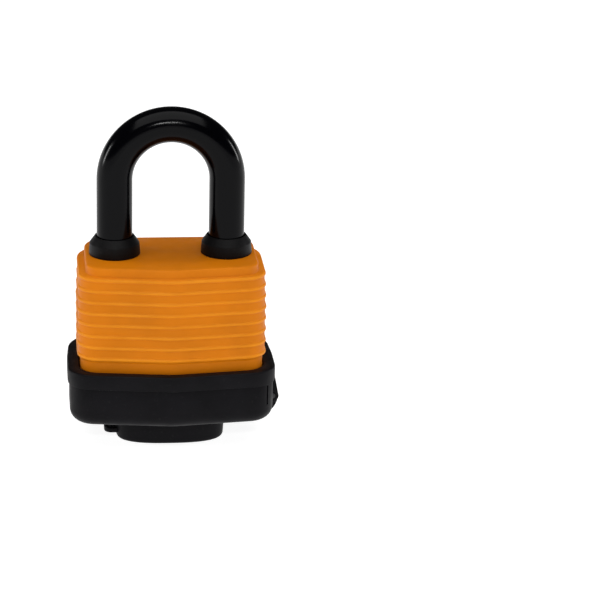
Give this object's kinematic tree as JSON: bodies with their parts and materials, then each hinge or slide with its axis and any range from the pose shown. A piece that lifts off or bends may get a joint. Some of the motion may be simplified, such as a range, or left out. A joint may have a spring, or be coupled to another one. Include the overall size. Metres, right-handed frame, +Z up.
{
  "type": "laminated padlock",
  "caption": "Weatherproof laminated padlock with a ribbed jacket, a base cap with a hinged keyway cover, a sleeved shackle and its complete latch and pin-tumbler lock inside.",
  "frame": {"origin": "centre of the cover's flat underside, the lowest face, on the shackle's and the lock cylinder's middle line", "axes": "+Z up along the shackle legs, the longest extent; +X to the right, towards the cover's hinge; -Y to the bowed front"},
  "size_m": [0.0496, 0.0316, 0.08],
  "materials": {
    "orange_jacket": "satin orange thermoplastic with moulded ribs",
    "black_plastic": "fine-textured black moulded plastic",
    "black_rubber": "matt black rubber",
    "black_vinyl": "glossy black vinyl sleeve",
    "plated_steel": "zinc-plated punched steel",
    "hardened_steel": "bright hardened steel",
    "spring_steel": "drawn spring wire",
    "brass": "turned brass",
    "zinc_casting": "dull zinc die casting"
  },
  "bodies": {
    "case": {"base_cap": "black_plastic", "weather_jacket": "orange_jacket", "shackle_seal_left": "black_rubber", "shackle_seal_right": "black_rubber", "top_plate": "plated_steel", "body_plate_01": "plated_steel", "body_plate_02": "plated_steel", "body_plate_03": "plated_steel", "body_plate_04": "plated_steel", "body_plate_05": "plated_steel", "body_plate_06": "plated_steel", "body_plate_07": "plated_steel", "body_plate_08": "plated_steel", "body_plate_09": "plated_steel", "body_plate_10": "plated_steel", "body_plate_11": "plated_steel", "bottom_plate": "plated_steel", "rivet_1": "plated_steel", "rivet_2": "plated_steel", "rivet_3": "plated_steel", "rivet_4": "plated_steel", "shackle_retainer": "hardened_steel", "cylinder_shell": "zinc_casting", "pin_cover": "brass", "cover_hinge_pin": "spring_steel", "latch_spring": "spring_steel", "pin_spring_1": "spring_steel", "pin_spring_2": "spring_steel", "pin_spring_3": "spring_steel", "pin_spring_4": "spring_steel"},
    "shackle": {"shackle": "hardened_steel", "shackle_sleeve": "black_vinyl"},
    "plug": {"cylinder_plug": "brass", "lock_cam": "hardened_steel"},
    "latch_left": {"latch_left": "hardened_steel"},
    "latch_right": {"latch_right": "hardened_steel"},
    "cover": {"keyway_cover": "black_plastic"},
    "driver_1": {"driver_pin_1": "hardened_steel"},
    "driver_2": {"driver_pin_2": "hardened_steel"},
    "driver_3": {"driver_pin_3": "hardened_steel"},
    "driver_4": {"driver_pin_4": "hardened_steel"},
    "key_pin_body_1": {"key_pin_1": "brass"},
    "key_pin_body_2": {"key_pin_2": "brass"},
    "key_pin_body_3": {"key_pin_3": "brass"},
    "key_pin_body_4": {"key_pin_4": "brass"}
  },
  "joints": [
    {"name": "shackle_lift", "type": "slide", "parent": "case", "child": "shackle", "axis": [0, 0, 1], "range_m": [0, 0.017]},
    {"name": "plug_turn", "type": "hinge", "parent": "case", "child": "plug", "pos_m": [0, 0, 0.02], "axis": [0, 0, 1], "range_deg": [-90, 0]},
    {"name": "latch_left_slide", "type": "slide", "parent": "case", "child": "latch_left", "axis": [1, 0, 0], "range_m": [-0.002, 0], "deforming": ["latch_spring"]},
    {"name": "latch_right_slide", "type": "slide", "parent": "case", "child": "latch_right", "axis": [-1, 0, 0], "range_m": [-0.002, 0]},
    {"name": "cover_swing", "type": "hinge", "parent": "case", "child": "cover", "pos_m": [0.024, 0, 0.0107], "axis": [0, -1, 0], "range_deg": [0, 105]},
    {"name": "driver_1_slide", "type": "slide", "parent": "case", "child": "driver_1", "axis": [1, 0, 0], "range_m": [0, 0.001], "stiffness_N_per_m": 60, "deforming": ["pin_spring_1"]},
    {"name": "driver_2_slide", "type": "slide", "parent": "case", "child": "driver_2", "axis": [1, 0, 0], "range_m": [0, 0.001], "stiffness_N_per_m": 60, "deforming": ["pin_spring_2"]},
    {"name": "driver_3_slide", "type": "slide", "parent": "case", "child": "driver_3", "axis": [1, 0, 0], "range_m": [0, 0.001], "stiffness_N_per_m": 60, "deforming": ["pin_spring_3"]},
    {"name": "driver_4_slide", "type": "slide", "parent": "case", "child": "driver_4", "axis": [1, 0, 0], "range_m": [0, 0.001], "stiffness_N_per_m": 60, "deforming": ["pin_spring_4"]},
    {"name": "key_pin_1_slide", "type": "slide", "parent": "plug", "child": "key_pin_body_1", "axis": [0, -1, 0], "range_m": [0, 0.0012]},
    {"name": "key_pin_2_slide", "type": "slide", "parent": "plug", "child": "key_pin_body_2", "axis": [0, -1, 0], "range_m": [0, 0.0012]},
    {"name": "key_pin_3_slide", "type": "slide", "parent": "plug", "child": "key_pin_body_3", "axis": [0, -1, 0], "range_m": [0, 0.0012]},
    {"name": "key_pin_4_slide", "type": "slide", "parent": "plug", "child": "key_pin_body_4", "axis": [0, -1, 0], "range_m": [0, 0.0012]}
  ],
  "couplings": [
    {"joint": "plug_turn", "follows": "latch_left_slide", "rad_per_m": 785.4},
    {"joint": "latch_right_slide", "follows": "latch_left_slide", "ratio": 1}
  ]
}
